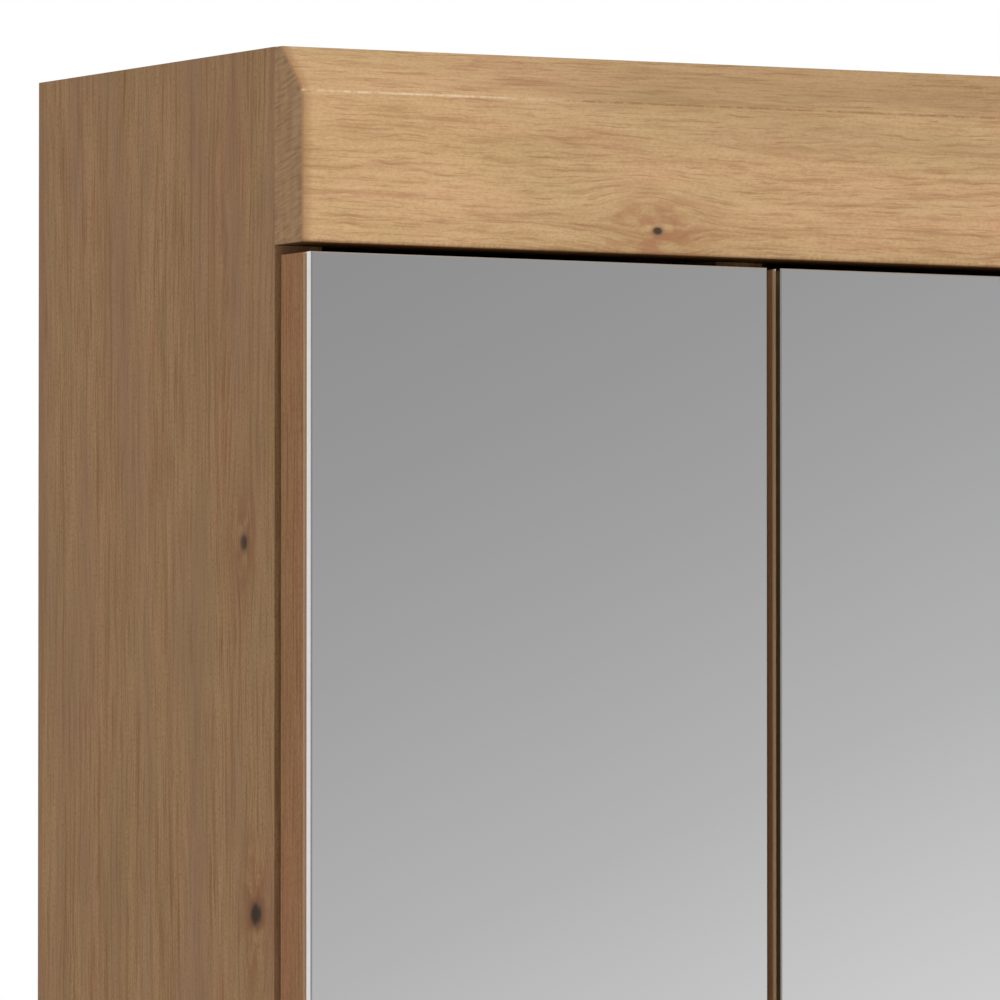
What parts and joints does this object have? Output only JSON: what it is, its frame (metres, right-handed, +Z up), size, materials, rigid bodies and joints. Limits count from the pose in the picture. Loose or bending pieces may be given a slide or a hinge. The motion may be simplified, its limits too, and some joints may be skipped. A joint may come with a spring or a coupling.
{
  "type": "mirror-door wall cabinet",
  "caption": "Shallow oak wall cabinet with mirror doors on concealed hinges, a chamfered fascia above them and adjustable shelves inside.",
  "frame": {"origin": "centre of the carcass's flat back face, which lies on the wall", "axes": "+X to the right seen from the front, +Y towards the wall, +Z up"},
  "size_m": [0.72, 0.18, 0.79],
  "materials": {
    "oak": "oak veneer, matt lacquer, fine grain",
    "back_board": "thin hardboard, smooth inside face",
    "dowel_wood": "plain beech",
    "mirror": "silvered float glass, ground edges",
    "adhesive_film": "thin foam mounting film",
    "bumper": "clear soft dots",
    "nickel_steel": "nickel-plated pressed steel",
    "bracket_steel": "zinc-plated steel",
    "zinc_screw": "bright zinc plate",
    "cam_alloy": "die-cast zinc alloy"
  },
  "bodies": {
    "carcass": {"side_panel_left": "oak", "side_panel_right": "oak", "top_panel": "oak", "bottom_panel": "oak", "partition_left": "oak", "partition_right": "oak", "back_panel": "back_board", "fascia": "oak", "shelf_left_lower": "oak", "shelf_left_upper": "oak", "shelf_centre_lower": "oak", "shelf_centre_upper": "oak", "shelf_right_lower": "oak", "shelf_right_upper": "oak", "shelf_pins": "zinc_screw", "cam_locks": "cam_alloy", "cam_bolts": "zinc_screw", "dowels": "dowel_wood", "confirmat_screws": "zinc_screw", "back_panel_screws": "zinc_screw", "fascia_brackets": "bracket_steel", "fascia_bracket_screws": "zinc_screw", "wall_bracket_left": "bracket_steel", "wall_bracket_right": "bracket_steel", "wall_bracket_screws": "zinc_screw", "hinge_plate_screws": "zinc_screw", "hinge_arm_screws": "zinc_screw", "hinge_arm_pins": "zinc_screw", "hinge_arms_left": "nickel_steel", "hinge_arms_centre": "nickel_steel", "hinge_arms_right": "nickel_steel", "hinge_plates_left": "nickel_steel", "hinge_plates_centre": "nickel_steel", "hinge_plates_right": "nickel_steel"},
    "left_links": {"hinge_links_left": "nickel_steel"},
    "left_door": {"door_board_left": "oak", "door_mirror_left": "mirror", "mirror_adhesive_left": "adhesive_film", "door_bumpers_left": "bumper", "hinge_cups_left": "nickel_steel", "hinge_cup_pins_left": "zinc_screw", "hinge_cup_screws_left": "zinc_screw"},
    "centre_links": {"hinge_links_centre": "nickel_steel"},
    "centre_door": {"door_board_centre": "oak", "door_mirror_centre": "mirror", "mirror_adhesive_centre": "adhesive_film", "door_bumpers_centre": "bumper", "hinge_cups_centre": "nickel_steel", "hinge_cup_pins_centre": "zinc_screw", "hinge_cup_screws_centre": "zinc_screw"},
    "right_links": {"hinge_links_right": "nickel_steel"},
    "right_door": {"door_board_right": "oak", "door_mirror_right": "mirror", "mirror_adhesive_right": "adhesive_film", "door_bumpers_right": "bumper", "hinge_cups_right": "nickel_steel", "hinge_cup_pins_right": "zinc_screw", "hinge_cup_screws_right": "zinc_screw"}
  },
  "joints": [
    {"name": "left_link_turn", "type": "hinge", "parent": "carcass", "child": "left_links", "pos_m": [-0.3294, -0.169, -0.0375], "axis": [0, 0, 1], "range_deg": [0, 35]},
    {"name": "left_door_swing", "type": "hinge", "parent": "left_links", "child": "left_door", "pos_m": [-0.3462, -0.1684, -0.0375], "axis": [0, 0, -1], "range_deg": [0, 125]},
    {"name": "centre_link_turn", "type": "hinge", "parent": "carcass", "child": "centre_links", "pos_m": [-0.1688, -0.169, -0.0375], "axis": [0, 0, 1], "range_deg": [0, 35]},
    {"name": "centre_door_swing", "type": "hinge", "parent": "centre_links", "child": "centre_door", "pos_m": [-0.1856, -0.1684, -0.0375], "axis": [0, 0, -1], "range_deg": [0, 125]},
    {"name": "right_link_turn", "type": "hinge", "parent": "carcass", "child": "right_links", "pos_m": [0.3294, -0.169, -0.0375], "axis": [0, 0, -1], "range_deg": [0, 35]},
    {"name": "right_door_swing", "type": "hinge", "parent": "right_links", "child": "right_door", "pos_m": [0.3462, -0.1684, -0.0375], "axis": [0, 0, 1], "range_deg": [0, 125]}
  ],
  "couplings": [
    {"joint": "left_link_turn", "follows": "left_door_swing", "ratio": 0.28},
    {"joint": "centre_link_turn", "follows": "centre_door_swing", "ratio": 0.28},
    {"joint": "right_link_turn", "follows": "right_door_swing", "ratio": 0.28}
  ]
}
